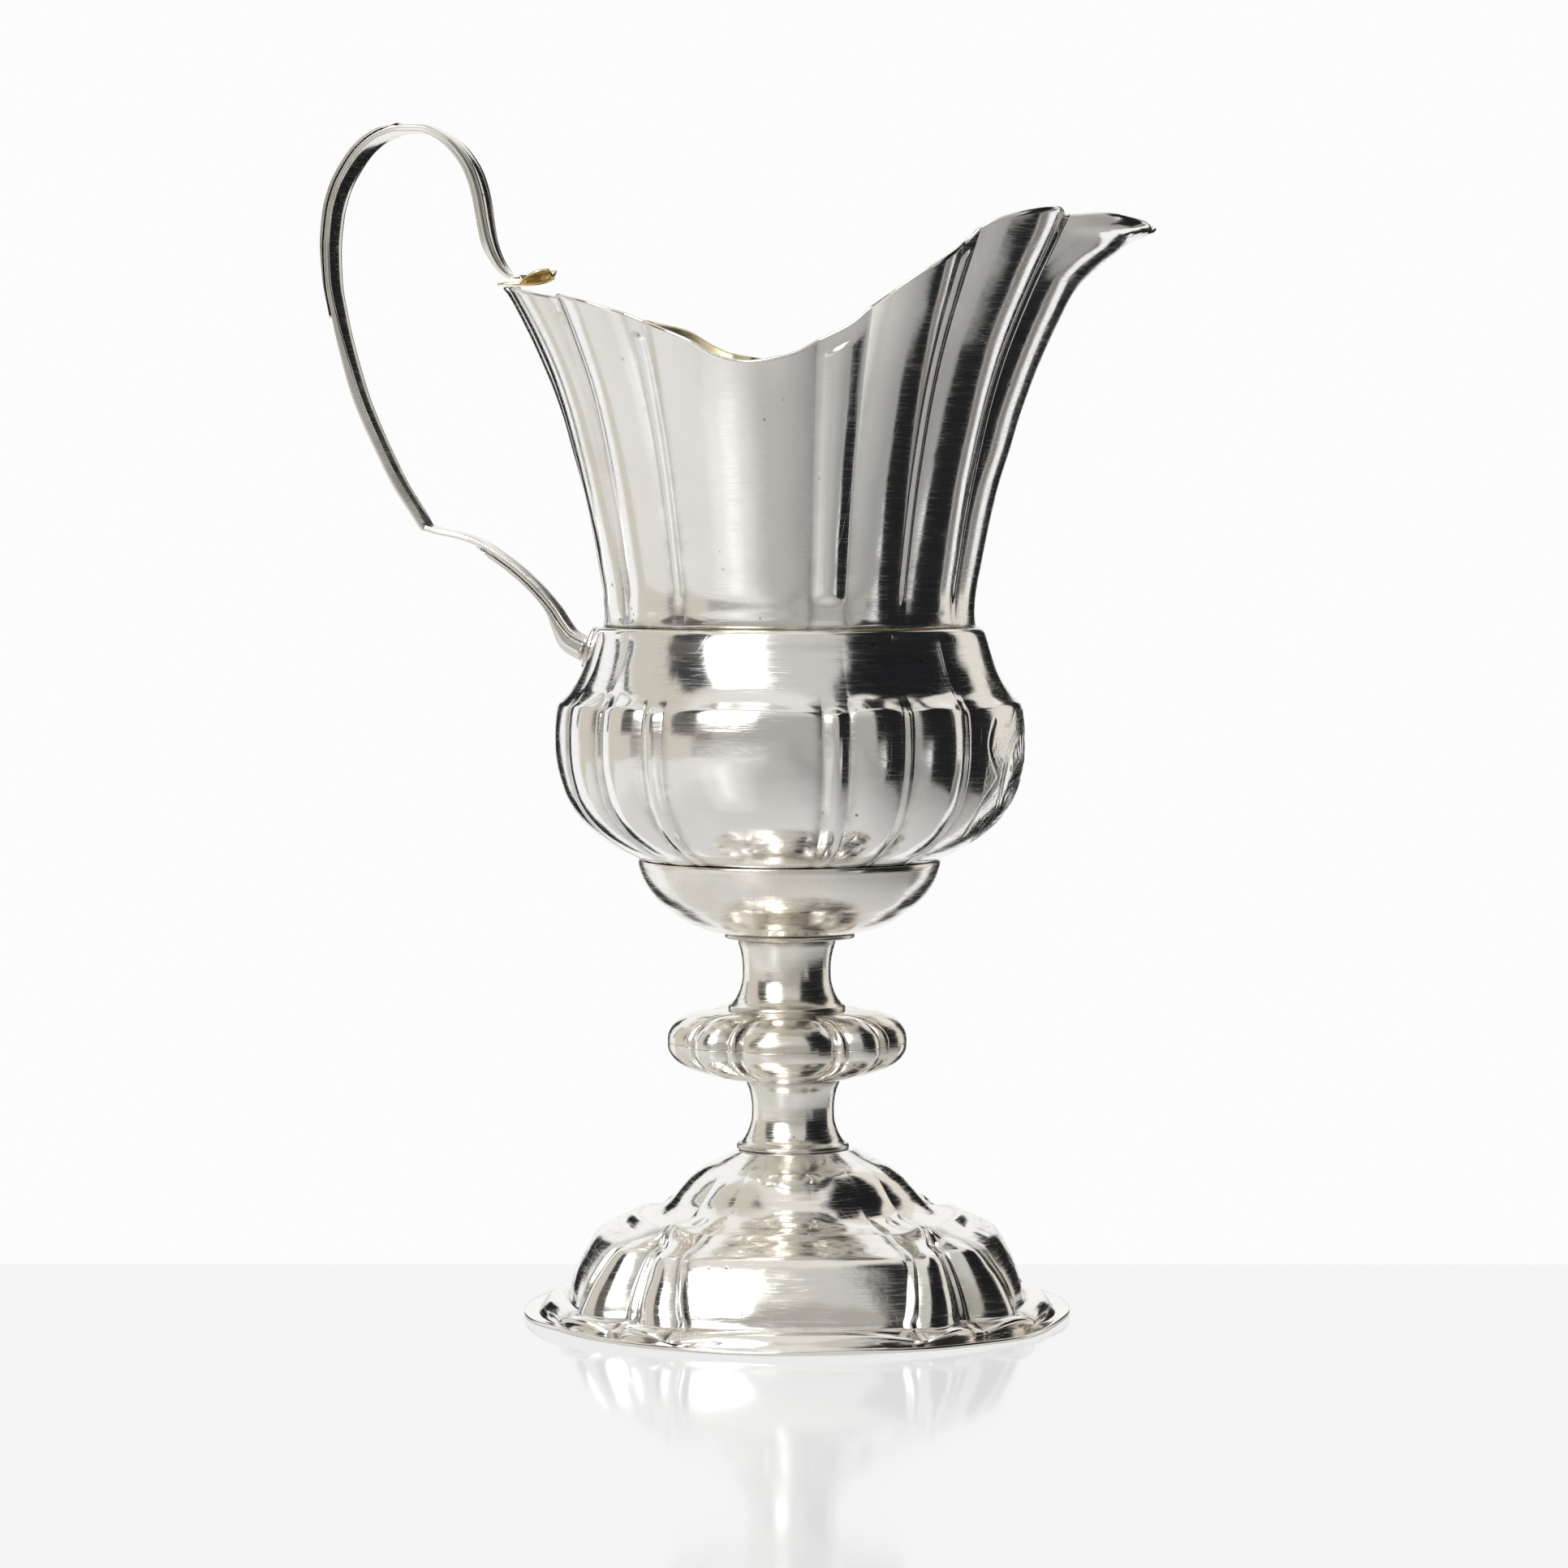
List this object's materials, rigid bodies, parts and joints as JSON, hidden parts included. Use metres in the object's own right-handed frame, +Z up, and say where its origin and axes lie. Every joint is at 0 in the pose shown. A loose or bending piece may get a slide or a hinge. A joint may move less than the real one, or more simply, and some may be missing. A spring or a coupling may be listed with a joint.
{
  "type": "water pitcher",
  "caption": "Helmet-shaped silver ewer with lobed body and belly, high open spout, looped reeded strap handle, knopped stem and lobed foot; gilt inside.",
  "frame": {"origin": "under the middle of the overall box, on the plane the foot rests on; the vessel's axis stands 14.2 mm from it towards the spout", "axes": "+Z up, +X towards the spout, -X towards the handle, Y across the mouth"},
  "size_m": [0.1975, 0.1286, 0.28],
  "materials": {
    "body_silver": "polished silver, finely scratched",
    "stem_silver": "polished silver",
    "foot_silver": "polished silver, worn and dented",
    "handle_silver": "silver, dull in the reeds",
    "gilt_silver": "fire-gilt silver",
    "fastener_metal": "plain filed metal"
  },
  "bodies": {
    "root": {"upper_body": "body_silver", "belly_bowl": "body_silver", "base_cup": "stem_silver", "stem_collar": "stem_silver", "upper_spool": "stem_silver", "knop_upper_half": "stem_silver", "knop_lower_half": "stem_silver", "lower_spool": "stem_silver", "foot": "foot_silver", "tie_rod": "fastener_metal", "foot_washer": "fastener_metal", "foot_nut": "fastener_metal", "handle_strap": "handle_silver", "handle_outer_strip": "handle_silver", "handle_lower_strap": "handle_silver", "handle_lower_strip": "handle_silver", "handle_foot_plate": "handle_silver", "handle_tongue": "gilt_silver"}
  },
  "joints": []
}
